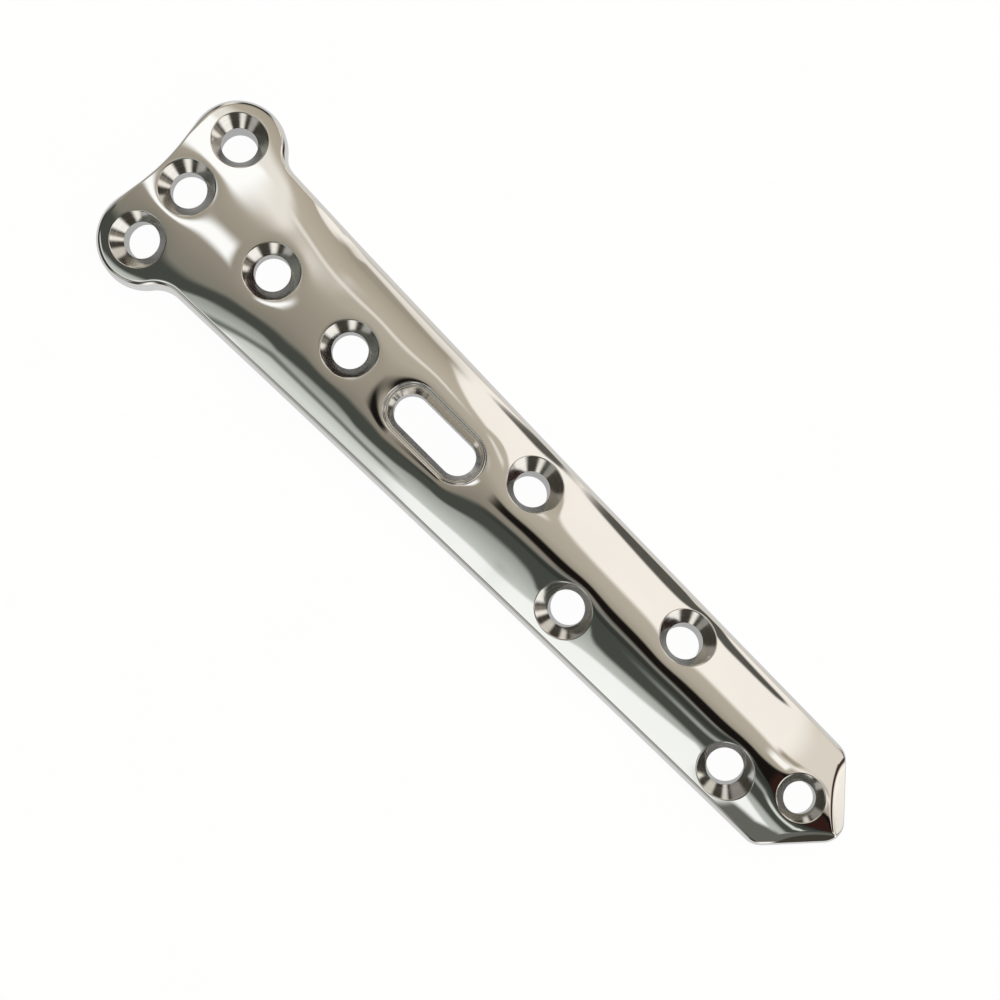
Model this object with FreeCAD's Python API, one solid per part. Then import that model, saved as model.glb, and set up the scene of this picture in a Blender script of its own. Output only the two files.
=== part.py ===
import FreeCAD, Part
import math
import os

# Bone plate, one solid of polished implant steel. Millimetres.
# X runs along the middle of the plate from the broad head to the pointed tip.
# Z points up, away from the bone, and the plate stands on Z = 0.
# A share of the length is counted from the middle: -1 is the head's end, 1 is the tip.

# Outline, seen from above
plateLength = 134.6
lobeRadius = 6.95           # the two rounded corners of the head
lobeOffset = 9.2            # from the middle line to the middle of a lobe
headHollow = 1.15           # depth of the shallow hollow in the head's end
neckHalfWidth = 11.8        # where the shaft's long edge leaves the lobe
neckFillet = 4.5
waistShare = 0.06           # share of the length
waistHalfWidth = 10.2
leftNeckExtra = 0.45        # the left side is drawn a little wider at the neck
leftWaistExtra = 0.12       # and at the waist
tipHalfWidth = 9.18         # at the shoulders of the pointed tip
tipAngle = 47.5             # each side of the tip, from the middle line
tipShoulderRadius = 3.0
tipNoseRadius = 3.0

# Section
plateThickness = 5.3        # at the crown of the shaft
crownFallShaft = 2.0        # the top falls by this much from crown to edge
crownFallNeck = 1.6
crownFallHead = 1.5
lateFallShaft = 0.1         # share of that fall which comes only near the edge
lateFallNeck = 0.75
lateFallHead = 0.6
crownShares = (-0.862, -0.684, -0.327, 0.119)   # head ends, neck begins, neck ends, shaft begins
headBendShare = -0.673      # from here the top sinks a little towards the head's end
headSink = 0.5
tipBendShare = 0.703        # and from here towards the tip
tipSink = 1.3
bendPower = 2.5             # how late that sinking comes
edgeRadius = 1.05           # rounding along the top of the edge
footBevel = 0.4             # bevel along its foot
archRise = 0.9              # the hollow underside, a long cylinder
archRadius = 40.0
bevelAngle = 32.0           # flats on the two sides of the tip
bevelWidths = (1.9, 1.4)    # left and right of the middle line, looking to the tip

# Screw holes: a conical seat above a plain bore
seatRadius = 4.2
seatDepth = 1.6
boreRadius = 2.6
tipSeatRadius = 3.65
tipSeatDepth = 1.4
tipBoreRadius = 2.25
headHoleInset = 6.65        # of the two outer ones, from the head's end
headMiddleInset = 6.3
headHoleOffset = 9.9
headHoleLean = 9.0          # degrees, its foot nearer the middle line
headTilt = 4.0              # degrees, the head's holes look a little away from the shaft
neckHoleShares = (-0.6545, -0.4235)
sideHoleShares = (0.0498, 0.2749, 0.4955, 0.737)
sideHoleOffset = 4.6
sideHoleLean = 14.5
sideHoleTilts = (0.0, 0.0, 0.0, -6.0)   # the last one looks a little towards the tip
tipHoleInset = 7.4
tipHoleTilt = -5.0

# Slot between the neck's holes and the staggered ones
slotShare = -0.1731
slotLength = 17.4           # over the ends of its seat
slotStepDepth = 0.65        # its seat is cut in two steps
slotStepRadius = 3.75
slotLedge = 0.3

half = plateLength / 2
reach = 3 * plateThickness  # how far the cutting tools stand out of the plate
margin = 1.0                # how far the crown is drawn past the outline
gridColumns = 25            # heights that the crown is drawn through, along and across
gridRows = 11
closeBy = 0.01              # two points nearer than this are one


def point(x, y, z=0.0):
    return FreeCAD.Vector(x, y, z)


def line(a, b):
    return Part.LineSegment(a, b).toShape()


def arc(a, b, c):
    return Part.Arc(a, b, c).toShape()


def blend(x, x0, x1):
    """0 before x0, 1 after x1, with a smooth rise between."""
    t = min(max((x - x0) / (x1 - x0), 0.0), 1.0)
    return t * t * (3 - 2 * t)


def along(x, head, neck, shaft):
    """A value that changes smoothly from head to neck to shaft."""
    head_end, neck_start, neck_end, shaft_start = [share * half for share in crownShares]
    value = head + (neck - head) * blend(x, head_end, neck_start)
    return value + (shaft - neck) * blend(x, neck_end, shaft_start)


def tip_corner_x():
    """Where the two sides of the tip would meet if its nose were not rounded."""
    return half + tipNoseRadius * (1 / math.sin(math.radians(tipAngle)) - 1)


def shoulder_x():
    """Where the side of the tip, drawn on as a straight line, meets the long edge."""
    return tip_corner_x() - tipHalfWidth / math.tan(math.radians(tipAngle))


def lobe_x():
    return -half + lobeRadius


def lobe_exit(side):
    """Where the long edge leaves the lobe, before the neck is filleted."""
    y = neckHalfWidth + (leftNeckExtra if side > 0 else 0)
    return point(lobe_x() + math.sqrt(lobeRadius**2 - (y - lobeOffset)**2), y)


def waist(side):
    return point(waistShare * half, waistHalfWidth + (leftWaistExtra if side > 0 else 0))


def shaft_half_width(x):
    """The right long edge's distance from the middle line: a parabola through its three widths."""
    p0, p1, p2 = lobe_exit(-1), waist(-1), point(shoulder_x(), tipHalfWidth)
    a = p0.y * (x - p1.x) * (x - p2.x) / ((p0.x - p1.x) * (p0.x - p2.x))
    b = p1.y * (x - p0.x) * (x - p2.x) / ((p1.x - p0.x) * (p1.x - p2.x))
    c = p2.y * (x - p0.x) * (x - p1.x) / ((p2.x - p0.x) * (p2.x - p1.x))
    return a + b + c


def crown_half_width(x):
    """The width that the crown is drawn to."""
    x = min(x, shoulder_x())
    head = lobeOffset + lobeRadius
    shaft = shaft_half_width(max(x, lobe_exit(-1).x))
    return head + (shaft - head) * blend(x, crownShares[0] * half, crownShares[1] * half)


def top_height(x, y):
    """Crowned top: a fall with the square and the fourth power of the distance from the middle."""
    share = abs(y) / crown_half_width(x)
    late = along(x, lateFallHead, lateFallNeck, lateFallShaft)
    fall = along(x, crownFallHead, crownFallNeck, crownFallShaft)
    height = plateThickness - fall * ((1 - late) * share**2 + late * share**4)
    for bend_share, sink in ((headBendShare, headSink), (tipBendShare, tipSink)):
        # share of the way from where the bend starts to the plate's end
        past = (x / half / bend_share - 1) / (1 / abs(bend_share) - 1)
        height -= sink * max(past, 0.0) ** bendPower
    return height


def below_crown():
    """Everything below the crowned top, drawn a little past the outline."""
    wide = lobeOffset + lobeRadius + margin
    long = half + margin
    grid = []
    for i in range(gridColumns):
        x = -long + 2 * long * i / (gridColumns - 1)
        ys = [-wide + 2 * wide * j / (gridRows - 1) for j in range(gridRows)]
        grid.append([point(x, y, top_height(x, y)) for y in ys])
    surface = Part.BSplineSurface()
    surface.interpolate(grid)
    return surface.toShape().extrude(point(0, 0, -reach))


def half_outline(side):
    """One side of the outline, from the middle of the head's end to the corner of the tip."""
    end_x = -half + headHollow
    gap = lobe_x() - end_x
    # the hollow's circle touches the lobe's circle from outside
    hollow = (gap**2 + lobeOffset**2 - lobeRadius**2) / (2 * (lobeRadius - gap))
    centre = point(end_x - hollow, 0)
    lobe = point(lobe_x(), lobeOffset)
    touch = centre + (lobe - centre) * (hollow / (hollow + lobeRadius))
    turn = math.atan2(touch.y, touch.x - centre.x) / 2
    bend = centre + point(hollow * math.cos(turn), hollow * math.sin(turn))
    top = lobe + point(0, lobeRadius)
    leave = lobe_exit(side)
    shoulder = point(shoulder_x(), tipHalfWidth)
    edges = [
        arc(point(end_x, 0), bend, touch),
        arc(touch, top, leave),
        arc(leave, waist(side), shoulder),
        line(shoulder, point(tip_corner_x(), 0)),
    ]
    if side < 0:
        edges = [edge.mirror(point(0, 0), point(0, 1)) for edge in edges]
    return edges


def upright_edge(solid, x, y):
    """The straight upright edge of a prism that stands at x and y."""
    for edge in solid.Edges:
        ends = [v.Point for v in edge.Vertexes]
        near = [abs(p.x - x) < closeBy and abs(p.y - y) < closeBy for p in ends]
        if len(ends) == 2 and all(near):
            return edge
    raise ValueError("no upright edge there")


def blank():
    """The outline as an upright prism, with its corners rounded and its foot bevelled."""
    wire = Part.Wire(Part.__sortEdges__(half_outline(1) + half_outline(-1)))
    prism = Part.Face(wire).extrude(point(0, 0, 2 * plateThickness))
    necks = [(lobe_exit(side).x, side * lobe_exit(side).y) for side in (1, -1)]
    shoulders = [(shoulder_x(), side * tipHalfWidth) for side in (1, -1)]
    nose = [(tip_corner_x(), 0)]
    for places, radius in (
        (necks, neckFillet), (shoulders, tipShoulderRadius), (nose, tipNoseRadius)
    ):
        prism = prism.makeFillet(radius, [upright_edge(prism, x, y) for x, y in places])
    foot = min(prism.Faces, key=lambda face: face.CenterOfMass.z)
    return prism.makeChamfer(footBevel, foot.Edges)


def underside():
    """What the hollow underside takes off: a long cylinder whose top is archRise above the foot."""
    tool = Part.makeCylinder(archRadius, 2 * plateLength, point(-plateLength, 0), point(1, 0))
    tool.translate(point(0, 0, archRise - archRadius))
    return tool


def body():
    """The blank below its crowned top, with a rounded edge and a hollow underside."""
    solid = blank().common(below_crown())
    top = max(solid.Faces, key=lambda face: face.CenterOfMass.z)
    return solid.makeFillet(edgeRadius, top.Edges).cut(underside())


def tip_bevel(side, width):
    """What a flat on one side of the tip takes off."""
    angle = math.radians(tipAngle)
    out = point(math.sin(angle), side * math.cos(angle))
    middle = point((shoulder_x() + tip_corner_x()) / 2, side * tipHalfWidth / 2)
    start = middle - out * width
    tool = Part.makeBox(2 * reach, 2 * reach, reach)
    tool.translate(point(-reach, -reach, 0))
    tool.rotate(point(0, 0), point(0, 1), bevelAngle)
    tool.rotate(point(0, 0), point(0, 0, 1), side * (90 - tipAngle))
    tool.translate(point(start.x, start.y, top_height(start.x, start.y)))
    return tool


def turned(profile):
    """A tool turned about Z from a half profile of radius and height pairs."""
    wire = Part.makePolygon([point(r, 0, z) for r, z in profile + profile[:1]])
    return Part.Face(wire).revolve(point(0, 0), point(0, 0, 1), 360)


def seat_profile(seat, depth, bore):
    """Cone from the seat's mouth down to the bore, drawn on upwards at the same slope."""
    widen = (seat - bore) / depth
    return [
        (0, reach), (seat + widen * reach, reach), (bore, -depth), (bore, -reach), (0, -reach)
    ]


def placed(tool, x, y, lean, tilt):
    """A tool set on the top surface, leaning across and along the plate."""
    tool.rotate(point(0, 0), point(1, 0), -lean)
    tool.rotate(point(0, 0), point(0, 1), -tilt)
    tool.translate(point(x, y, top_height(x, y)))
    return tool


def hole(x, y=0.0, lean=0.0, tilt=0.0):
    return placed(turned(seat_profile(seatRadius, seatDepth, boreRadius)), x, y, lean, tilt)


def tip_hole():
    profile = seat_profile(tipSeatRadius, tipSeatDepth, tipBoreRadius)
    return placed(turned(profile), half - tipHoleInset, 0, 0, tipHoleTilt)


def slot():
    """A long hole whose seat has a narrow ledge part of the way down."""
    widen = (seatRadius - slotStepRadius) / slotStepDepth
    profile = [
        (0, reach),
        (seatRadius + widen * reach, reach),
        (slotStepRadius, -slotStepDepth),
        (slotStepRadius - slotLedge, -slotStepDepth),
        (boreRadius, -seatDepth),
        (boreRadius, -reach),
        (0, -reach),
    ]
    travel = slotLength - 2 * seatRadius
    mirrored = [(-r, z) for r, z in reversed(profile[1:-1])]
    section = Part.makePolygon([
        point(0, r, z) for r, z in profile[1:-1] + mirrored + profile[1:2]
    ])
    middle = Part.Face(section).extrude(point(travel, 0))
    near = turned(profile)
    far = turned(profile)
    far.translate(point(travel, 0))
    tool = middle.fuse([near, far]).removeSplitter()
    slot_x = slotShare * half
    tool.translate(point(slot_x - travel / 2, 0, top_height(slot_x, 0)))
    return tool


def screw_holes():
    """All the holes of the plate, head to tip."""
    tools = [hole(headMiddleInset - half, tilt=headTilt)]
    for side in (1, -1):
        x = headHoleInset - half
        tools.append(hole(x, side * headHoleOffset, side * headHoleLean, headTilt))
    for share in neckHoleShares:
        tools.append(hole(share * half))
    side = 1
    for share, tilt in zip(sideHoleShares, sideHoleTilts):
        tools.append(hole(share * half, side * sideHoleOffset, side * sideHoleLean, tilt))
        side = -side
    return tools + [slot(), tip_hole()]


def bone_plate():
    solid = body()
    for side, width in zip((1, -1), bevelWidths):
        solid = solid.cut(tip_bevel(side, width))
    for tool in screw_holes():
        solid = solid.cut(tool)
    return solid


os.makedirs("parts", exist_ok=True)
plate = bone_plate()
plate.exportStep("parts/bone_plate.step")
print("bone_plate volume", round(plate.Volume, 1), "solids", len(plate.Solids), "valid", plate.isValid())
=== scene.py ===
import bpy
import numpy as np
from mathutils import Matrix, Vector
from mathutils.geometry import delaunay_2d_cdt


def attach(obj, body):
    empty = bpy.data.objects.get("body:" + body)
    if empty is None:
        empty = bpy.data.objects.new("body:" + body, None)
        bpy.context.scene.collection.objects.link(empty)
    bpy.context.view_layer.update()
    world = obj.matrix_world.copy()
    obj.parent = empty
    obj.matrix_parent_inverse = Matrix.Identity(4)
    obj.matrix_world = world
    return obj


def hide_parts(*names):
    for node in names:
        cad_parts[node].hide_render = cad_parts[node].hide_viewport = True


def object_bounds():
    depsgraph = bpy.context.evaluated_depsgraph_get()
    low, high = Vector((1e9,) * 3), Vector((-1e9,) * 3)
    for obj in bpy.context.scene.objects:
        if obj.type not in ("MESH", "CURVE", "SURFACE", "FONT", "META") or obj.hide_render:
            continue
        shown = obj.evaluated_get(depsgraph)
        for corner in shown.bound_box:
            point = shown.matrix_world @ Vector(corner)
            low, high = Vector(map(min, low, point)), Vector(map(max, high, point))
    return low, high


# A mirror-polished bone plate on a white table. Lengths are in millimetres until a mesh is made.

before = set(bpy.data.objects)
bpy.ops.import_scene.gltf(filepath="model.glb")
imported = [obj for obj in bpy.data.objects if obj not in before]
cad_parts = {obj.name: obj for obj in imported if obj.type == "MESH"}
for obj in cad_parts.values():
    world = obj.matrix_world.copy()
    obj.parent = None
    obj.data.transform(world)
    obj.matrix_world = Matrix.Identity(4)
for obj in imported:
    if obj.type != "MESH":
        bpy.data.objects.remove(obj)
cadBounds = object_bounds()
half = (cadBounds[1][0] - cadBounds[0][0]) * 500  # half of the plate's length
millimetre = 0.001


def smoothRise(x, start, end):
    # t²(3 - 2t), where t is the share of the way from start to end
    t = np.clip((x - start) / (end - start), 0, 1)
    return t * t * (3 - 2 * t)


def unit(v):
    # v over its length
    return v / np.linalg.norm(v, axis=-1, keepdims=True)


def turnBetween(a, b, rows):
    # unit vectors turned evenly from a to b, one array for each row
    angle = np.arccos(np.clip((a * b).sum(-1, keepdims=True), -1, 1)) + 1e-9
    shares = [i / (rows - 1) for i in range(rows)]
    return [(np.sin((1 - t) * angle) * a + np.sin(t * angle) * b) / np.sin(angle) for t in shares]


def bisect(f, low, high, steps=44):
    # halves the gap between low and high until f, which rises, is zero there
    for _ in range(steps):
        middle = (low + high) / 2
        above = f(middle) > 0
        high = np.where(above, middle, high)
        low = np.where(above, low, middle)
    return (low + high) / 2


# The outline, seen from above
outline = {
    "lobeRadius": 6.95, "lobeOffset": 9.2, "headHollow": 1.15,
    "neckHalfWidth": 11.8, "neckFillet": 4.5, "waistX": 0.06 * half, "waistHalfWidth": 10.2,
    "leftNeckExtra": 0.45, "leftWaistExtra": 0.12,
    "tipHalfWidth": 9.18, "tipAngle": np.radians(47.5), "shoulderRadius": 3.0, "noseRadius": 3.0,
    "flankBow": 0.002, "step": 0.3, "longStep": 0.45,
}
lobeX = -half + outline["lobeRadius"]
cornerX = half + outline["noseRadius"] * (1 / np.sin(outline["tipAngle"]) - 1)
shoulderX = cornerX - outline["tipHalfWidth"] / np.tan(outline["tipAngle"])


def longEdge(x, left):
    # a parabola through the half widths at the neck, the waist and the tip's shoulder
    y0 = outline["neckHalfWidth"] + left * outline["leftNeckExtra"]
    y1 = outline["waistHalfWidth"] + left * outline["leftWaistExtra"]
    y2 = outline["tipHalfWidth"]
    x0 = lobeX + np.sqrt(outline["lobeRadius"] ** 2 - (y0 - outline["lobeOffset"]) ** 2)
    x1, x2 = outline["waistX"], shoulderX
    return (y0 * (x - x1) * (x - x2) / ((x0 - x1) * (x0 - x2))
            + y1 * (x - x0) * (x - x2) / ((x1 - x0) * (x1 - x2))
            + y2 * (x - x0) * (x - x1) / ((x2 - x0) * (x2 - x1)))


def longEdgeNormal(x, left):
    # (-slope, 1) over its length, the slope from points a little before and behind
    slope = (longEdge(x + 0.01, left) - longEdge(x - 0.01, left)) / 0.02
    return unit(np.stack([-slope, np.ones_like(slope)], -1))


def arcRun(centre, radius, start, end, outward=1):
    # centre + radius (cos a, sin a) with a from start to end, the last point left out
    count = int(np.ceil(abs(end - start) * radius / outline["step"])) + 1
    a = start + (end - start) * np.arange(count) / count
    ray = np.stack([np.cos(a), np.sin(a)], -1)
    return np.array(centre) + radius * ray, outward * ray


def outlineSide(left):
    # from the middle of the head's end round one lobe and along one side to the nose, with the normals
    o = outline
    lobe = np.array([lobeX, o["lobeOffset"]])
    gap = o["lobeRadius"] - o["headHollow"]
    hollow = (gap ** 2 + o["lobeOffset"] ** 2 - o["lobeRadius"] ** 2) / (2 * (o["lobeRadius"] - gap))
    hollowCentre = np.array([-half + o["headHollow"] - hollow, 0])
    toLobe = lobe - hollowCentre
    touch = np.arctan2(toLobe[1], toLobe[0])
    reach = o["lobeRadius"] + o["neckFillet"]

    def besideEdge(x, distance):
        # the long edge's point plus distance times its normal
        return np.array([x, longEdge(x, left)]) + distance * longEdgeNormal(x, left)

    def neckCentre(x):
        # the fillet's radius outside the edge
        return besideEdge(x, o["neckFillet"])

    def shoulderCentre(x):
        # the shoulder's radius inside the edge
        return besideEdge(x, -o["shoulderRadius"])

    neckX = float(bisect(lambda x: np.linalg.norm(neckCentre(x) - lobe) - reach, lobeX, lobeX + 20))
    facing = np.array([np.sin(o["tipAngle"]), np.cos(o["tipAngle"])])
    corner = np.array([cornerX, 0])
    shoulder = float(bisect(lambda x: (shoulderCentre(x) - corner) @ facing + o["shoulderRadius"],
                            shoulderX - 8, shoulderX + 4))
    neck, round1 = neckCentre(neckX), shoulderCentre(shoulder)
    nose = np.array([half - o["noseRadius"], 0])
    leave = np.arctan2(*(neck - lobe)[::-1])
    n0, n1 = longEdgeNormal(np.float64(neckX), left), longEdgeNormal(np.float64(shoulder), left)
    runs = [
        arcRun(hollowCentre, hollow, 0, touch, -1),
        arcRun(lobe, o["lobeRadius"], touch + np.pi, leave),
        arcRun(neck, o["neckFillet"], leave + np.pi, np.arctan2(-n0[1], -n0[0]) + 2 * np.pi, -1),
    ]
    x = neckX + (shoulder - neckX) * np.arange(0, 1, o["longStep"] / (shoulder - neckX))
    runs.append((np.stack([x, longEdge(x, left)], -1), longEdgeNormal(x, left)))
    facingAngle = np.arctan2(facing[1], facing[0])
    runs.append(arcRun(round1, o["shoulderRadius"], np.arctan2(n1[1], n1[0]), facingAngle))
    start, end = round1 + o["shoulderRadius"] * facing, nose + o["noseRadius"] * facing
    count = int(np.linalg.norm(end - start) / o["step"])
    t = np.arange(count)[:, None] / count
    bow = 4 * t * (1 - t) * o["flankBow"]  # too little to see; it keeps the net free of flat triangles
    runs.append((start + (end - start) * t + bow * facing, facing + 0 * t))
    runs.append(arcRun(nose, o["noseRadius"], facingAngle, 0))
    return [np.concatenate(part) for part in zip(*runs)]


def wholeOutline():
    # the left side from head to nose, the nose's point, then the right side back to the head
    points, normals = outlineSide(1)
    backPoints, backNormals = [part[:0:-1] * [1, -1] for part in outlineSide(0)]
    points = np.concatenate([points, [[half, 0]], backPoints])
    normals = np.concatenate([normals, [[1, 0]], backNormals])
    return points[::-1], normals[::-1]  # anticlockwise, seen from above


# The heights of the top and of the underside
section = {
    "thickness": 5.3, "falls": (1.5, 1.6, 2.0), "lateFalls": (0.6, 0.75, 0.1),
    "blends": np.array([-0.862, -0.684, -0.327, 0.119]) * half,
    "narrowing": np.array([-0.9, -0.53]) * half,  # here the crown narrows from the head to the neck
    "headBend": -0.673 * half, "headSink": 0.5, "tipBend": 0.703 * half, "tipSink": 1.3,
    "bendPower": 2.5, "archRise": 0.9, "archRadius": 40.0,
    "edgeRadius": 1.05, "headEdgeRadius": 0.4, "tipEdgeRadii": (0.4, 0.8), "footRadius": 0.4,
    "bevelSlope": np.tan(np.radians(32)), "bevelWidths": {1: 1.9, -1: 1.4}, "creaseSoft": 0.2,
}


def alongPlate(x, values):
    # head's value to the neck's to the shaft's, with smooth rises between
    b = section["blends"]
    return (values[0] + (values[1] - values[0]) * smoothRise(x, b[0], b[1])
            + (values[2] - values[1]) * smoothRise(x, b[2], b[3]))


def crownHeight(x, y):
    # thickness - fall ((1 - late) q² + late q⁴), q = y over the half width, less a bend at each end
    start = lobeX + np.sqrt(outline["lobeRadius"] ** 2
                            - (outline["neckHalfWidth"] - outline["lobeOffset"]) ** 2)
    width = longEdge(np.clip(x, start, shoulderX), 0)
    head = outline["lobeOffset"] + outline["lobeRadius"]
    width = head + (width - head) * smoothRise(x, *section["narrowing"])
    q = y / width
    late = alongPlate(x, section["lateFalls"])
    z = section["thickness"] - alongPlate(x, section["falls"]) * ((1 - late) * q ** 2 + late * q ** 4)
    headShare = np.clip((section["headBend"] - x) / (section["headBend"] + half), 0, None)
    tipShare = np.clip((x - section["tipBend"]) / (half - section["tipBend"]), 0, None)
    return (z - section["headSink"] * headShare ** section["bendPower"]
            - section["tipSink"] * tipShare ** section["bendPower"])


def bevelPlane(side):
    # start point in plan, direction out of the plate, and the height of the flat where it starts
    angle = outline["tipAngle"]
    out = np.array([np.sin(angle), side * np.cos(angle)])
    middle = np.array([(shoulderX + cornerX) / 2, side * outline["tipHalfWidth"] / 2])
    start = middle - out * section["bevelWidths"][side]
    return start, out, crownHeight(start[0], start[1])


def bevelHeight(x, y, side):
    # a flat that falls by bevelSlope with the distance outwards from its start
    start, out, height = bevelPlane(side)
    return height - section["bevelSlope"] * ((x - start[0]) * out[0] + (y - start[1]) * out[1])


def softMin(a, b, soft):
    # the lesser of the two, less soft h²/4 near where they cross, h = 1 - |a - b| / soft
    h = np.clip(1 - np.abs(a - b) / soft, 0, 1)
    return np.minimum(a, b) - h * h * soft / 4


def polishedAway(x, y):
    # depth e^(-d / reach) for each hole, d the distance from its rim: polishing rounds the surface there
    seatRadius = holes["seatRadius"]
    rims = [("head", inset - half, y0, 0, seatRadius) for inset, y0, _ in holes["head"]]
    rims += [("neck", x0, 0, 0, seatRadius) for x0 in holes["neckX"]]
    rims += [("side", x0, side * holes["sideOffset"], 0, seatRadius)
             for x0, side in zip(holes["sideX"], (1, -1, 1, -1))]
    rims += [("tip", half - holes["tipInset"], 0, 0, holes["tipSeatRadius"]),
             ("slot", holes["slotX"], 0, holes["slotLength"] / 2 - seatRadius, seatRadius)]
    lost = 0
    for kind, x0, y0, travel, radius in rims:
        depth, reach = holes["polish"][kind]
        away = np.hypot(np.clip(np.abs(x - x0) - travel, 0, None), y - y0) - radius
        lost = lost + depth * np.exp(-np.clip(away, -1, None) / reach)
    return lost


def topHeight(x, y):
    # the crown less what polishing took, cut softly by the two flats of the tip
    z = crownHeight(x, y) - polishedAway(x, y)
    for side in (1, -1):
        z = softMin(z, bevelHeight(x, y, side), section["creaseSoft"])
    return z


def underHeight(x, y):
    # a circle of archRadius across the plate, cut off at the foot
    arch = np.sqrt(section["archRadius"] ** 2 - y ** 2) - section["archRadius"] + section["archRise"]
    return -softMin(-arch, 0 * arch, section["creaseSoft"])


def normalOf(height, x, y, up=1):
    # from the slopes of the height on both sides of the point
    d = 0.01
    slopeX = (height(x + d, y) - height(x - d, y)) / (2 * d)
    slopeY = (height(x, y + d) - height(x, y - d)) / (2 * d)
    return up * unit(np.stack([-slopeX, -slopeY, np.ones_like(slopeX)], -1))


def lifted(plan, height):
    # points in plan set on a height
    return np.concatenate([plan, height(plan[:, 0], plan[:, 1])[:, None]], -1)


# Patches: points, normals, faces as rows of indices, texture places at the corners, finish
finishes = ["mirrorSteel", "turnedSteel", "boreSteel", "underSteel"]
patches = []


def addPatch(points, normals, faces, cornerUv, finish):
    # keeps a piece of surface for the mesh, with its finish as a number
    patches.append((points, normals, faces, cornerUv, finishes.index(finish)))


def addStrips(rows, rowNormals, finish):
    # quads between closed loops of the same number of points; u is the length round the first loop, and v the
    # mean length down the loops
    rows, rowNormals = np.array(rows), np.array(rowNormals)
    count, around = rows.shape[:2]
    i, j = np.meshgrid(np.arange(count - 1), np.arange(around), indexing="ij")
    k = (j + 1) % around
    faces = np.stack([i * around + j, (i + 1) * around + j, (i + 1) * around + k, i * around + k], -1)
    across = np.linalg.norm(np.diff(rows, axis=0), axis=-1).mean(1)
    v = np.concatenate([[0], np.cumsum(across)])
    lengths = np.linalg.norm(np.roll(rows[0], -1, 0) - rows[0], axis=-1)
    u = np.concatenate([[0], np.cumsum(lengths)])
    uv = np.stack([np.stack([u[j], v[i]], -1), np.stack([u[j], v[i + 1]], -1),
                   np.stack([u[j + 1], v[i + 1]], -1), np.stack([u[j + 1], v[i]], -1)], -2)
    addPatch(rows.reshape(-1, 3), rowNormals.reshape(-1, 3), faces.reshape(-1, 4),
             uv.reshape(-1, 4, 2), finish)


def roundedCorner(before, corner, after, normalBefore, normalAfter, rows):
    # (1-t)² before + 2t(1-t) corner + t² after, with the normal turned evenly on the way
    shares = [i / (rows - 1) for i in range(rows)]
    points = [(1 - t) ** 2 * before + 2 * t * (1 - t) * corner + t ** 2 * after for t in shares]
    return points, turnBetween(normalBefore, normalAfter, rows)


# The rounded edge, the wall and the foot
edge = {
    "turnRows": 9, "footRows": 5, "rolls": 40,
    # where its radius changes: from the shoulders on, across the nose, near the head's end, beside its hollow
    "tipBlend": (-2, 1.5), "noseBlend": (-1.5, 1.5), "headBlend": (2.5, 1), "hollowBlend": (-9, -5),
}


def edgeRows():
    # centre + radius times a normal that turns from the top's to the wall's, and the same round the foot
    plan, out = wholeOutline()
    atTip = smoothRise(plan[:, 0], *[shoulderX + d for d in edge["tipBlend"]])
    leftTip, rightTip = section["tipEdgeRadii"]
    tipRadius = rightTip + (leftTip - rightTip) * smoothRise(plan[:, 1], *edge["noseBlend"])
    atHead = smoothRise(-plan[:, 0], *[half - d for d in edge["headBlend"]])
    atHead = atHead * smoothRise(-np.abs(plan[:, 1]), *edge["hollowBlend"])
    radius = section["edgeRadius"] + (tipRadius - section["edgeRadius"]) * atTip
    radius = (radius + (section["headEdgeRadius"] - radius) * atHead)[:, None]
    centre = plan - radius * out
    touch = centre
    for _ in range(edge["rolls"]):  # a ball of this radius rolls along the wall and under the top
        normal = normalOf(topHeight, touch[:, 0], touch[:, 1])
        touch = centre + radius * normal[:, :2]
    normal = normalOf(topHeight, touch[:, 0], touch[:, 1])
    ballZ = topHeight(touch[:, 0], touch[:, 1])[:, None] - radius * normal[:, 2:]
    outFlat = np.concatenate([out, 0 * out[:, :1]], -1)
    turns = turnBetween(normal, outFlat, edge["turnRows"])
    ball = np.concatenate([centre, ballZ], -1)
    rows = [ball + radius * turn for turn in turns]
    rows[0] = lifted(touch, topHeight)
    foot = section["footRadius"]
    footBall = np.concatenate([plan - foot * out, foot + 0 * ballZ], -1)
    down = np.array([0, 0, -1.0]) + 0 * outFlat
    footTurns = turnBetween(outFlat, down, edge["footRows"])
    footRows = [footBall + foot * turn for turn in footTurns]
    footRows[-1] = lifted(footRows[-1][:, :2], underHeight)
    middle = (rows[-1] + footRows[0]) / 2
    return rows, turns, [rows[-1], middle, footRows[0]], [outFlat] * 3, footRows, footTurns, out


# The screw holes and the slot
holes = {
    "seatRadius": 4.2, "seatDepth": 1.6, "boreRadius": 2.6,
    "tipSeatRadius": 3.65, "tipSeatDepth": 1.4, "tipBoreRadius": 2.25,
    "head": ((6.3, 0, 0), (6.65, 9.9, 9.0), (6.65, -9.9, -9.0)), "headTilt": 4.0,
    "neckX": np.array([-0.6545, -0.4235]) * half,
    "sideX": np.array([0.0498, 0.2749, 0.4955, 0.737]) * half, "sideTilts": (0, 0, 0, -6.0),
    "sideOffset": 4.6, "sideLean": 14.5, "tipInset": 7.4, "tipTilt": -5.0,
    "slotX": -0.1731 * half, "slotLength": 17.4, "slotStepDepth": 0.65,
    "slotStepRadius": 3.75, "slotLedge": 0.3,
    "polish": {"head": (0.045, 1.2), "neck": (0.042, 1.0), "side": (0.025, 1.2), "tip": (0.08, 1.5),
               "slot": (0.13, 1.8)},  # depth and reach
    "rimSoft": 0.13, "cornerSoft": 0.06, "footSoft": 0.15, "around": 144, "rowStep": 0.35,
    "rimRows": 5, "cornerRows": 4, "boreRows": 6,
}


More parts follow.
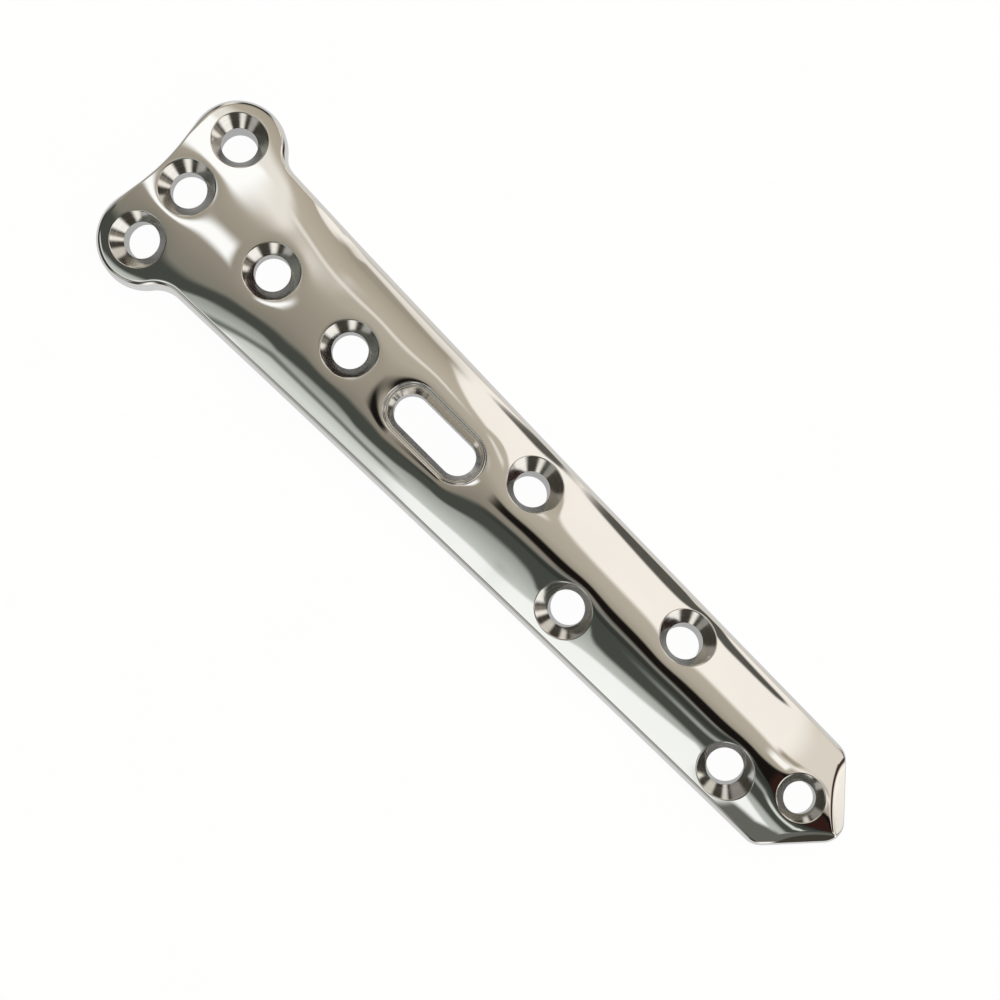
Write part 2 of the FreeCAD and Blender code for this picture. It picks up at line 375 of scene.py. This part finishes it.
def holeAxis(lean, tilt):
    # straight up, turned by -lean about X and then by -tilt about Y
    lean, tilt = np.radians(lean), np.radians(tilt)
    return np.array([-np.cos(lean) * np.sin(tilt), np.sin(lean), np.cos(lean) * np.cos(tilt)])


def roundSpine(x, y, lean, tilt):
    # the same centre all round, and rays square to the axis
    axis = holeAxis(lean, tilt)
    a = np.arange(holes["around"]) * 2 * np.pi / holes["around"]
    e1 = unit(np.cross([0, 1.0, 0], axis))
    e2 = np.cross(axis, e1)
    rays = np.cos(a)[:, None] * e1 + np.sin(a)[:, None] * e2
    centre = np.array([x, y, crownHeight(x, y)])
    return centre + 0 * rays, rays, axis


def slotSpine():
    # two half circles of rays, and between them a straight run on each side
    travel = holes["slotLength"] - 2 * holes["seatRadius"]
    n = holes["around"] // 2
    straight = int(travel / holes["rowStep"])
    a = np.concatenate([np.linspace(-np.pi / 2, np.pi / 2, n), np.full(straight - 1, np.pi / 2),
                        np.linspace(np.pi / 2, 3 * np.pi / 2, n), np.full(straight - 1, 3 * np.pi / 2)])
    run = np.linspace(0.5, -0.5, straight + 1)[1:-1]
    shift = np.concatenate([np.full(n, 0.5), run, np.full(n, -0.5), -run]) * travel
    x = holes["slotX"]
    centres = np.stack([x + shift, 0 * shift, crownHeight(x, 0.0) + 0 * shift], -1)
    return centres, np.stack([np.cos(a), np.sin(a), 0 * a], -1), np.array([0, 0, 1.0])


def heightGap(points, height):
    # z less the height of the surface there
    return points[:, 2] - height(points[:, 0], points[:, 1])


def seat(spine, profile):
    # the profile's (radius, height) corners carried round the spine, from the top to the underside
    centres, rays, axis = spine
    profile = np.array(profile, float)
    runs = np.diff(profile, axis=0)
    runs = np.concatenate([runs, [[0, -1.0]]])
    runs /= np.linalg.norm(runs, axis=-1, keepdims=True)

    def at(r, s):
        # centre + r times the ray + s times the axis
        return centres + np.asarray(r)[..., None] * rays + np.asarray(s)[..., None] * axis

    def facing(run):
        # the normal of the wall that runs that way
        return run[1] * rays - run[0] * axis

    slope = runs[0][0] / runs[0][1]
    s = bisect(lambda s: heightGap(at(profile[0][0] + slope * s, s), topHeight), -2 + 0 * rays[:, 0], 2)
    rim = at(profile[0][0] + slope * s, s)
    topNormal = normalOf(topHeight, rim[:, 0], rim[:, 1])
    coneNormal = facing(runs[0])
    down = runs[0][0] * rays + runs[0][1] * axis
    along = unit(np.cross(topNormal, coneNormal))
    away = unit(np.cross(along, topNormal))
    away *= np.sign((away * rays).sum(-1, keepdims=True))
    soft = holes["rimSoft"]
    before = lifted((rim + soft * away)[:, :2], topHeight)
    beforeNormal = normalOf(topHeight, before[:, 0], before[:, 1])
    points, normals = roundedCorner(before, rim, rim + soft * down, beforeNormal, coneNormal,
                                    holes["rimRows"])
    bands = [(points, normals, "turnedSteel")]
    last = points[-1]
    soft = holes["cornerSoft"]
    for number in range(1, len(profile)):
        corner = at(profile[number][0], profile[number][1])
        runIn, runOut = runs[number - 1], runs[number]
        stop = corner - soft * (runIn[0] * rays + runIn[1] * axis)
        go = corner + soft * (runOut[0] * rays + runOut[1] * axis)
        rows = max(2, int(np.linalg.norm(stop - last, axis=-1).mean() / holes["rowStep"]) + 1)
        straight = [last + (stop - last) * i / rows for i in range(rows + 1)]
        bands.append((straight, [facing(runIn)] * (rows + 1), "turnedSteel"))
        points, normals = roundedCorner(stop, corner, go, facing(runIn), facing(runOut), holes["cornerRows"])
        bands.append((points, normals, "turnedSteel"))
        last = points[-1]
    r = profile[-1][0]
    s = bisect(lambda s: heightGap(at(r + 0 * s, s), underHeight), -9 + 0 * rays[:, 0], profile[-1][1] - 0.2)
    mouth = at(r + 0 * s, s)
    soft = holes["footSoft"]
    boreNormal = -rays
    stop = mouth + soft * axis
    rows = holes["boreRows"]
    straight = [last + (stop - last) * i / rows for i in range(rows + 1)]
    bands.append((straight, [boreNormal] * (rows + 1), "boreSteel"))
    after = lifted((mouth + soft * rays)[:, :2], underHeight)
    afterNormal = normalOf(underHeight, after[:, 0], after[:, 1], -1)
    points, normals = roundedCorner(stop, mouth, after, boreNormal, afterNormal, holes["cornerRows"])
    bands.append((points, normals, "boreSteel"))
    return bands


def allSeats():
    # each hole's spine and profile, carried out by seat
    h = holes
    cone = [(h["seatRadius"], 0), (h["boreRadius"], -h["seatDepth"])]
    spines = [(roundSpine(inset - half, y, lean, h["headTilt"]), cone) for inset, y, lean in h["head"]]
    spines += [(roundSpine(x, 0, 0, 0), cone) for x in h["neckX"]]
    side = 1
    for x, tilt in zip(h["sideX"], h["sideTilts"]):
        spines.append((roundSpine(x, side * h["sideOffset"], side * h["sideLean"], tilt), cone))
        side = -side
    spines.append((roundSpine(half - h["tipInset"], 0, 0, h["tipTilt"]),
                   [(h["tipSeatRadius"], 0), (h["tipBoreRadius"], -h["tipSeatDepth"])]))
    spines.append((slotSpine(), [(h["seatRadius"], 0), (h["slotStepRadius"], -h["slotStepDepth"]),
                                 (h["slotStepRadius"] - h["slotLedge"], -h["slotStepDepth"]),
                                 (h["boreRadius"], -h["seatDepth"])]))
    return [seat(spine, profile) for spine, profile in spines]


# The skins between the loops
net = {
    "topPitch": 0.42, "underPitch": 0.9, "clearOfGrid": 0.6, "joined": 1e-7, "blocks": (2000, 1500),
    "edgeRings": (0.2, 0.5), "rimRings": (0.15, 0.45), "clearOfLoops": 0.12, "clearOfCrease": 0.1,
    "creaseReach": 9, "creaseStep": 0.3, "creaseOffsets": (-0.3, -0.16, -0.08, -0.02, 0.04, 0.1, 0.18, 0.3),
}


def insideLoop(points, loop):
    # odd number of crossings of a ray along X, for all the points at once
    a, b = loop, np.roll(loop, -1, 0)
    x, y = points[:, :1], points[:, 1:]
    spans = (a[:, 1] > y) != (b[:, 1] > y)
    with np.errstate(divide="ignore", invalid="ignore"):
        crossing = a[:, 0] + (y - a[:, 1]) * (b[:, 0] - a[:, 0]) / (b[:, 1] - a[:, 1])
    return (spans & (x < crossing)).sum(1) % 2 == 1


def farFrom(points, others, gap):
    # whether the nearest of the others is farther than the gap, in blocks to save memory
    keep = np.ones(len(points), bool)
    rows, columns = net["blocks"]
    for start in range(0, len(points), rows):
        block = points[start:start + rows]
        far = np.full(len(block), np.inf)
        for piece in np.array_split(others, max(1, len(others) // columns)):
            square = ((block[:, None] - piece[None]) ** 2).sum(-1)
            far = np.minimum(far, square.min(1))
        keep[start:start + rows] = far > gap * gap
    return keep


def skin(outer, inners, extra, height, pitch, up, finish):
    # a plane net of triangles between the loops, then z = height(x, y)
    low, high = outer.min(0), outer.max(0)
    nx, ny = [int((high[i] - low[i]) / pitch) + 1 for i in (0, 1)]
    gx, gy = np.meshgrid(np.linspace(low[0], high[0], nx), np.linspace(low[1], high[1], ny), indexing="ij")
    gx[:, 1::2] += pitch / 2
    grid = np.stack([gx.ravel(), gy.ravel()], -1)
    loops = [outer] + inners
    fixed = np.concatenate(loops + extra)
    keep = insideLoop(grid, outer)
    for loop in inners:
        keep &= ~insideLoop(grid, loop)
    grid = grid[keep]
    grid = grid[farFrom(grid, fixed, pitch * net["clearOfGrid"])]
    points = np.concatenate([fixed, grid])
    edges, start = [], 0
    for loop in loops:
        index = np.arange(len(loop)) + start
        edges += list(zip(index.tolist(), np.roll(index, -1).tolist()))
        start += len(loop)
    result = delaunay_2d_cdt([tuple(p) for p in points.tolist()], edges, [], 0, net["joined"])
    assert len(result[0]) == len(points), (len(result[0]), len(points))
    faces = np.array(result[2])
    middles = points[faces].mean(1)
    keep = insideLoop(middles, outer)
    for loop in inners:
        keep &= ~insideLoop(middles, loop)
    faces = faces[keep]
    a, b, c = points[faces[:, 0]], points[faces[:, 1]], points[faces[:, 2]]
    area = (b[:, 0] - a[:, 0]) * (c[:, 1] - a[:, 1]) - (b[:, 1] - a[:, 1]) * (c[:, 0] - a[:, 0])
    wrong = (area * up) < 0
    faces[wrong] = faces[wrong][:, ::-1]
    normals = normalOf(height, points[:, 0], points[:, 1], up)
    addPatch(lifted(points, height), normals, faces, points[faces], finish)


def creaseRows():
    # points on both sides of the line where each flat of the tip meets the crown
    rows = []
    for side in (1, -1):
        start, out, _ = bevelPlane(side)
        run = np.array([out[1], -out[0]])
        t = np.arange(-net["creaseReach"], net["creaseReach"], net["creaseStep"])[:, None]
        base = start + t * run

        def gap(d):
            # the crown's height less the flat's, d outwards
            p = base + d[:, None] * out
            return crownHeight(p[:, 0], p[:, 1]) - bevelHeight(p[:, 0], p[:, 1], side)

        d = bisect(gap, np.full(len(t), -4.0), np.full(len(t), 3.0))
        for offset in net["creaseOffsets"]:
            rows.append(base + (d + offset)[:, None] * out)
    return np.concatenate(rows)


def plateMesh():
    # top and underside as nets, edge, wall, foot and holes as strips
    rounded, roundedNormals, wall, wallNormals, foot, footNormals, out = edgeRows()
    print("edge rounded", len(rounded[0]), "places")
    seats = allSeats()
    print("seats cut", len(seats))
    outer = rounded[0][:, :2]
    inners = [bands[0][0][0][:, :2] for bands in seats]
    loops = np.concatenate([outer] + inners)
    rings = [outer - gap * out for gap in net["edgeRings"]]
    for loop in inners:
        n = loop - np.roll(loop, 1, 0) + np.roll(loop, -1, 0) - loop
        n = unit(np.stack([n[:, 1], -n[:, 0]], -1))
        rings += [loop + n * gap for gap in net["rimRings"]]
    close = np.concatenate(rings)
    close = close[insideLoop(close, outer)]
    for loop in inners:
        close = close[~insideLoop(close, loop)]
    close = close[farFrom(close, loops, net["clearOfLoops"])]
    crease = creaseRows()
    crease = crease[insideLoop(crease, outer)]
    crease = crease[farFrom(crease, loops, net["clearOfCrease"])]
    close = close[farFrom(close, crease, net["clearOfCrease"])]
    skin(outer, inners, [close, crease], topHeight, net["topPitch"], 1, "mirrorSteel")
    print("top netted")
    lower = [bands[-1][0][-1][:, :2] for bands in seats]
    skin(foot[-1][:, :2], lower, [], underHeight, net["underPitch"], -1, "underSteel")
    print("underside netted")
    addStrips(rounded, roundedNormals, "mirrorSteel")
    addStrips(wall, wallNormals, "mirrorSteel")
    addStrips(foot, footNormals, "underSteel")
    for bands in seats:
        for rows, normals, finish in bands:
            addStrips(rows[::-1], normals[::-1], finish)


def meshFromPatches(name):
    # all the patches in one mesh, their shared points joined, in metres
    points = np.concatenate([p[0] for p in patches])
    normals = np.concatenate([p[1] for p in patches])
    _, first, same = np.unique(np.round(points, 5), axis=0, return_index=True, return_inverse=True)
    same = same.ravel()
    corners, starts, uvs, finishIndex, offset, place = [], [], [], [], 0, 0
    for p, n, faces, uv, finish in patches:
        sides = faces.shape[1]
        corners.append(same[faces + offset].ravel())
        uvs.append(uv.reshape(-1, 2))
        starts.append(place + np.arange(len(faces)) * sides)
        finishIndex.append(np.full(len(faces), finish))
        place += faces.size
        offset += len(p)
    mesh = bpy.data.meshes.new(name)
    mesh.vertices.add(len(first))
    mesh.vertices.foreach_set("co", (points[first] * millimetre).ravel())
    corners = np.concatenate(corners)
    starts = np.concatenate(starts)
    mesh.loops.add(len(corners))
    mesh.loops.foreach_set("vertex_index", corners.astype(np.int32))
    mesh.polygons.add(len(starts))
    mesh.polygons.foreach_set("loop_start", starts.astype(np.int32))
    mesh.polygons.foreach_set("material_index", np.concatenate(finishIndex).astype(np.int32))
    layer = mesh.uv_layers.new(name="profile")
    layer.data.foreach_set("uv", (np.concatenate(uvs) * millimetre).ravel())
    mesh.update(calc_edges=True)
    if mesh.validate(verbose=False):
        print("mesh was changed by validate")
    mesh.shade_smooth()
    mesh.normals_split_custom_set_from_vertices(unit(normals[first]).tolist())
    return mesh


plateMesh()
mesh = meshFromPatches("plate")
triangles = sum(len(p.vertices) - 2 for p in mesh.polygons)
print("plate mesh", len(mesh.vertices), "points", triangles, "triangles")


# The finishes
steel = {
    # for each: the colours and roughnesses of its darkest and lightest marks, the coordinates, and the marks
    # per metre on each axis
    "mirrorSteel": ((0.885, 0.88, 0.87), (0.91, 0.905, 0.895), (0.018, 0.04), "Object", (90, 160, 160)),
    "turnedSteel": ((0.74, 0.73, 0.71), (0.9, 0.89, 0.87), (0.07, 0.17), "UV", (90, 5200, 1)),
    "boreSteel": ((0.58, 0.58, 0.58), (0.7, 0.7, 0.695), (0.3, 0.42), "UV", (500, 3000, 1)),
    "underSteel": ((0.68, 0.67, 0.65), (0.76, 0.75, 0.73), (0.26, 0.36), "Object", (60, 2400, 400)),
}


marks = {"low": 0.3, "high": 0.7, "detail": 3}


def steelFinish(name):
    # dark + (light - dark) times the share of a stretched noise, and the same for the roughness
    dark, light, roughness, coordinates, perMetre = steel[name]
    material = bpy.data.materials.new(name)
    material.use_nodes = True
    nodes, links = material.node_tree.nodes, material.node_tree.links
    shader = nodes["Principled BSDF"]
    shader.inputs["Metallic"].default_value = 1
    place = nodes.new("ShaderNodeTexCoord")
    stretch = nodes.new("ShaderNodeMapping")
    stretch.inputs["Scale"].default_value = perMetre
    links.new(place.outputs[coordinates], stretch.inputs["Vector"])
    noise = nodes.new("ShaderNodeTexNoise")
    noise.inputs["Scale"].default_value = 1
    noise.inputs["Detail"].default_value = marks["detail"]
    links.new(stretch.outputs[0], noise.inputs["Vector"])
    share = nodes.new("ShaderNodeMapRange")
    share.inputs["From Min"].default_value = marks["low"]
    share.inputs["From Max"].default_value = marks["high"]
    links.new(noise.outputs[0], share.inputs["Value"])
    tone = nodes.new("ShaderNodeMix")
    tone.data_type = "RGBA"
    links.new(share.outputs[0], tone.inputs["Factor"])
    tone.inputs[6].default_value = (*dark, 1)
    tone.inputs[7].default_value = (*light, 1)
    links.new(tone.outputs[2], shader.inputs["Base Color"])
    rough = nodes.new("ShaderNodeMapRange")
    rough.inputs["To Min"].default_value, rough.inputs["To Max"].default_value = roughness
    links.new(share.outputs[0], rough.inputs["Value"])
    links.new(rough.outputs[0], shader.inputs["Roughness"])
    return material


for name in finishes:
    mesh.materials.append(steelFinish(name))
plate = bpy.data.objects.new("plate", mesh)
bpy.context.scene.collection.objects.link(plate)
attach(plate, "root")
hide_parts("bone_plate")
print("plate dressed in", len(finishes), "finishes")

# The table
table = {
    "size": 3.0, "drop": 0.00004, "colours": (0.08, 0.11), "marks": 40, "roughness": 0.8,
    "glow": 0.955, "shadedGlowInMetal": 0.62,
}


def makeTable():
    # white where the camera sees it, a dimmer glow where the metal sees it that stands in for the floor's
    # shade near the plate (painted shade), and a share of plain paper that takes the shadow
    s = table["size"]
    floorMesh = bpy.data.meshes.new("table")
    corners = [(x, y, -table["drop"]) for x, y in ((-s, -s), (s, -s), (s, s), (-s, s))]
    floorMesh.from_pydata(corners, [], [(0, 1, 2, 3)])
    material = bpy.data.materials.new("tableWhite")
    material.use_nodes = True
    nodes, links = material.node_tree.nodes, material.node_tree.links
    shader = nodes["Principled BSDF"]
    shader.inputs["Roughness"].default_value = table["roughness"]
    noise = nodes.new("ShaderNodeTexNoise")
    noise.inputs["Scale"].default_value = table["marks"]
    links.new(nodes.new("ShaderNodeTexCoord").outputs["Object"], noise.inputs["Vector"])
    paper = nodes.new("ShaderNodeMapRange")
    paper.inputs["To Min"].default_value, paper.inputs["To Max"].default_value = table["colours"]
    links.new(noise.outputs[0], paper.inputs["Value"])
    links.new(paper.outputs[0], shader.inputs["Base Color"])
    shader.inputs["Emission Color"].default_value = (1, 1, 1, 1)
    path = nodes.new("ShaderNodeLightPath")
    # the glow for glossy rays is less than the camera's: painted shade on the floor as the metal reflects it
    metal = nodes.new("ShaderNodeMath")
    metal.operation = "MULTIPLY"
    links.new(path.outputs["Is Glossy Ray"], metal.inputs[0])
    metal.inputs[1].default_value = table["shadedGlowInMetal"]
    glow = nodes.new("ShaderNodeMath")
    glow.operation = "MULTIPLY_ADD"
    links.new(path.outputs["Is Camera Ray"], glow.inputs[0])
    glow.inputs[1].default_value = table["glow"]
    links.new(metal.outputs[0], glow.inputs[2])
    links.new(glow.outputs[0], shader.inputs["Emission Strength"])
    floorMesh.materials.append(material)
    floor = bpy.data.objects.new("table", floorMesh)
    bpy.context.scene.collection.objects.link(floor)
    return floor


floor = makeTable()
print("table laid")

# The light: what a mirror sees of the room, by the angles of its reflections from straight up
studio = {
    # a sweep by the angle across the plate, from its right side over the top to its left
    "sweep": [
        (-90, (214, 218, 212)), (-36, (210, 214, 208)), (-28, (192, 197, 190)), (-20, (168, 173, 166)),
        (-14, (146, 150, 144)), (-8, (120, 118, 108)), (-2, (134, 128, 116)), (4, (150, 143, 129)),
        (9, (172, 164, 149)), (20, (182, 173, 158)), (30, (172, 163, 147)), (42, (156, 148, 132)),
        (45.5, (215, 208, 196)), (55, (240, 236, 230)), (90, (235, 232, 226)),
    ],
    # soft-edged cards: name, colour, from and to along the plate, from and to across, softness of both;
    # an edge may be a line of (along, across) points
    "cards": [
        ("dark floor", (68, 71, 65), -60, 60,
         [(-14, -21), (-12, -20), (-10, -17), (-8.8, -13.8), (-8, -12.3), (-6.2, -15.9), (-4, -15.7),
          (-3.4, -12.5), (-2.3, -16.5), (-1, -20), (1, -17.5), (10, -18.5)],
         [(-14, -8), (-11, -8.5), (-10, -7), (-8.5, -4.5), (-6, -5), (-4, -4.3), (-3, -3), (-2, -1.5),
          (10, -1)], 1, 1.8),
        ("white wall", (243, 245, 242), -4.0, 60, -90,
         [(-4, -31), (-2.5, -29), (-1, -27.5), (0.5, -25), (1.8, -21), (3, -20), (8, -23)], 1.5, 1.5),
        ("cream wall", (243, 237, 228), -6, 60,
         [(-7.5, 44), (-6.4, 39), (-5.6, 33), (-4.8, 26), (-4.2, 21.5), (-3.2, 18.5), (-2.2, 17), (0, 16.5),
          (3, 16), (8, 14.5)], 60, 1.3, 1.8),
        ("dim end of the wall", (217, 209, 196), 9, 22, 15, 62, 3, 1.5),
        ("taupe by the streak", (158, 148, 132), 6.5, 13, 15, 18.5, 1.2, 1.3),
        ("dark top of the wall", (84, 82, 76), -3.9, 5.0,
         [(-4, 46), (-3, 44.5), (-1, 42.5), (1, 42.5), (3, 43.8), (4.5, 46), (6, 48)],
         [(-4, 50), (-3, 53), (0, 52), (1.3, 49.5), (3, 48.5), (6, 48)], 0.9, 1.1),
        ("black screen", (22, 19, 17), -5.3, 32, [(-4, -0.2), (0, -1), (4, -2.5), (8, -3.5)],
         [(-4, 4.4), (4, 4.4), (8, 6)], 1.0, 0.9),
        ("brown end of the screen", (48, 29, 25), 10.5, 32, -3.5, 6, 2, 0.9),
        ("dark line", (52, 54, 50), -5, 32, -6.2, -3.8, 2, 0.9),
        ("thin light", (128, 126, 120), -4, 3, -2.8, -1.6, 1.5, 0.6),
        ("pale line", (150, 154, 148), 0.4, 10.5, -10.5, -8.2, 1.2, 1),
        ("tip streak", (250, 247, 240), 5.5, 12, 9.5, 13.5, 1.2, 1.0),
        ("pale tip line", (215, 218, 210), 11, 18, [(8, -10.4), (12.5, -12.2), (18, -12.5)],
         [(8, -8.1), (12.5, -9.4), (18, -9.5)], 2.2, 1.1),
        ("lower dark line", (106, 110, 104), -11, -3.8, [(-10, -24), (-7.6, -26), (-4.7, -27.5)],
         [(-10, -18.5), (-7.6, -21.5), (-4.7, -23)], 1, 2.2),
        ("tip shade", (98, 99, 93), 5.5, 60, -62, [(5, -32.5), (12, -31), (15, -24), (20, -20), (60, -18)],
         1.8, 2.6),
        ("tip brown", (66, 48, 38), 22, 40, 15, 62, 3, 4),
        ("dim side", (154, 146, 131), -60, -6.5,
         38, [(-13, 48.5), (-11, 46.5), (-8.5, 42), (-6, 42)], 2, 1.5),
        ("streak", (250, 248, 243), -15, -10.5, 12.2, 14.2, 1.6, 1.6),
        ("second streak", (236, 231, 222), -10.5, -4.8, 15.2, 16.8, 0.8, 1.5),
        ("window glow", (230, 225, 216), -24, -10.0, 9, 23, 1.0, 3),
        ("window", (255, 255, 253), -24, -13.6, 7.6, 17, 2.0, 1.0),
        ("low window", (255, 255, 253), -24, -11.1, 2.0, 4.0, 0.8, 0.6),
        ("dark gap", (100, 102, 97), -90, 90, -78, -43.5, 1, 1.8),
    ],
    # lamps and gaps in a ring just above the table: name, colour, from and to round it, softness
    "ring": [
        ("dark ring", (62, 58, 52), -200, 200, 1), ("far lamp", (255, 252, 246), -12, 19, 6),
        ("grey", (128, 122, 112), 27, 38, 4), ("left tip lamp", (248, 242, 232), 40, 54, 5),
        ("left lamp", (206, 200, 190), 76, 104, 5), ("left head lamp", (222, 216, 208), 133, 148, 5),
        ("head light", (140, 136, 130), 158, 200, 6), ("head light", (140, 136, 130), -200, -170, 6),
        ("right lamp", (166, 164, 158), -104, -82, 5), ("right tip lamp", (250, 246, 238), -64, -46, 6),
    ],
    "ringTop": (32, 38), "strength": 1.1,
}


def paint(colour):
    # a screen colour of 0 to 255 as light
    c = np.array(colour) / 255
    return (*np.where(c > 0.04045, ((c + 0.055) / 1.055) ** 2.4, c / 12.92).tolist(), 1)


def makeStudio():
    # the sweep, with each card and each lamp of the ring mixed over it by its share at that direction
    world = bpy.data.worlds.new("studio")
    bpy.context.scene.world = world
    world.use_nodes = True
    world.cycles.sampling_method = "NONE"  # a mirror finds the cards by itself, in half the time
    nodes, links = world.node_tree.nodes, world.node_tree.links
    nodes.clear()

    def node(kind, *inputs, **settings):
        # a new node with its settings; each input is a number or another node's socket
        made = nodes.new(kind)
        for name, value in settings.items():
            setattr(made, name, value)
        for socket, value in zip(made.inputs, inputs):
            if isinstance(value, bpy.types.NodeSocket):
                links.new(value, socket)
            elif value is not None:
                socket.default_value = value
        return made

    def math(operation, *inputs):
        # the output of one sum
        return node("ShaderNodeMath", *inputs, operation=operation).outputs[0]

    def rise(value, start, end):
        # smoothRise as a node
        return node("ShaderNodeMapRange", value, start, end, 0, 1,
                    interpolation_type="SMOOTHSTEP").outputs[0]

    def line(value, edge):
        # a plain number, or a smooth line through (value, edge) points within 90 degrees of straight up
        if not isinstance(edge, list):
            return edge
        curve = node("ShaderNodeFloatCurve", 1, math("MULTIPLY_ADD", value, 1 / 180, 0.5))
        points = curve.mapping.curves[0].points
        for number, place in enumerate(edge):
            x, y = [angle / 180 + 0.5 for angle in place]
            point = points.new(x, y) if number > 1 else points[number]
            point.location = (x, y)
            point.handle_type = "VECTOR"
        curve.mapping.update()
        return math("MULTIPLY_ADD", curve.outputs[0], 180, -90)

    def mixed(name, share, colour, tone):
        # colour + share (tone - colour)
        mix = node("ShaderNodeMix", data_type="RGBA", label=name)
        links.new(share, mix.inputs["Factor"])
        links.new(colour, mix.inputs[6])
        mix.inputs[7].default_value = paint(tone)
        return mix.outputs[2]

    direction = node("ShaderNodeSeparateXYZ", node("ShaderNodeTexCoord").outputs["Generated"])
    along, across = [math("DEGREES", math("ARCTAN2", direction.outputs[name], direction.outputs["Z"]))
                     for name in "XY"]
    ramp = node("ShaderNodeValToRGB", node("ShaderNodeMapRange", across, -90, 90, 0, 1).outputs[0])
    stops = ramp.color_ramp.elements
    for number, (degrees, tone) in enumerate(studio["sweep"]):
        place = degrees / 180 + 0.5
        stop = stops.new(place) if number > 1 else stops[number]
        stop.position, stop.color = place, paint(tone)
    colour = ramp.outputs[0]
    for name, tone, x0, x1, y0, y1, softX, softY in studio["cards"]:
        above, below = [math("SUBTRACT", across, line(along, edge)) for edge in (y0, y1)]
        shares = [rise(along, x0 - softX, x0 + softX), rise(along, x1 + softX, x1 - softX),
                  rise(above, -softY, softY), rise(below, softY, -softY)]
        share = math("MULTIPLY", math("MULTIPLY", *shares[:2]), math("MULTIPLY", *shares[2:]))
        colour = mixed(name, share, colour, tone)
    height = math("DEGREES", math("ARCSINE", direction.outputs["Z"]))
    azimuth = math("DEGREES", math("ARCTAN2", direction.outputs["Y"], direction.outputs["X"]))
    low = rise(height, studio["ringTop"][1], studio["ringTop"][0])
    for name, tone, start, end, soft in studio["ring"]:
        share = math("MULTIPLY", rise(azimuth, start - soft, start + soft),
                     rise(azimuth, end + soft, end - soft))
        colour = mixed(name, math("MULTIPLY", share, low), colour, tone)
    room = node("ShaderNodeBackground", colour, studio["strength"])
    white = node("ShaderNodeBackground", (1, 1, 1, 1))
    path = node("ShaderNodeLightPath")
    seen = node("ShaderNodeMixShader", path.outputs["Is Camera Ray"], room.outputs[0], white.outputs[0])
    node("ShaderNodeOutputWorld", seen.outputs[0])


makeStudio()
print("studio lit by", len(studio["cards"]) + len(studio["ring"]), "cards and lamps")

# The camera
view = {
    "target": (1.2, 0.06, 2.5), "distance": 420.0, "tilt": np.radians(6.2), "turn": np.radians(-45.0),
    "pixelsPerMillimetre": 7.143, "picture": 1000, "sensor": 36.0, "clipStart": 0.01,
}


def makeCamera():
    # it stands at target + distance (sin tilt cos turn, sin tilt sin turn, cos tilt) and looks at the target
    tilt, turn = view["tilt"], view["turn"]
    back = np.array([np.sin(tilt) * np.cos(turn), np.sin(tilt) * np.sin(turn), np.cos(tilt)])
    right = np.array([-np.sin(turn), np.cos(turn), 0])
    up = np.cross(back, right)
    place = (np.array(view["target"]) + view["distance"] * back) * millimetre
    data = bpy.data.cameras.new("camera")
    data.sensor_width = view["sensor"]
    data.lens = view["sensor"] * view["distance"] * view["pixelsPerMillimetre"] / view["picture"]
    data.clip_start = view["clipStart"]
    camera = bpy.data.objects.new("camera", data)
    matrix = np.eye(4)
    matrix[:3, 0], matrix[:3, 1], matrix[:3, 2], matrix[:3, 3] = right, up, back, place
    camera.matrix_world = Matrix(matrix.tolist())
    bpy.context.scene.collection.objects.link(camera)
    bpy.context.scene.camera = camera


makeCamera()
print("camera set")
bpy.context.scene.view_settings.view_transform = "Standard"
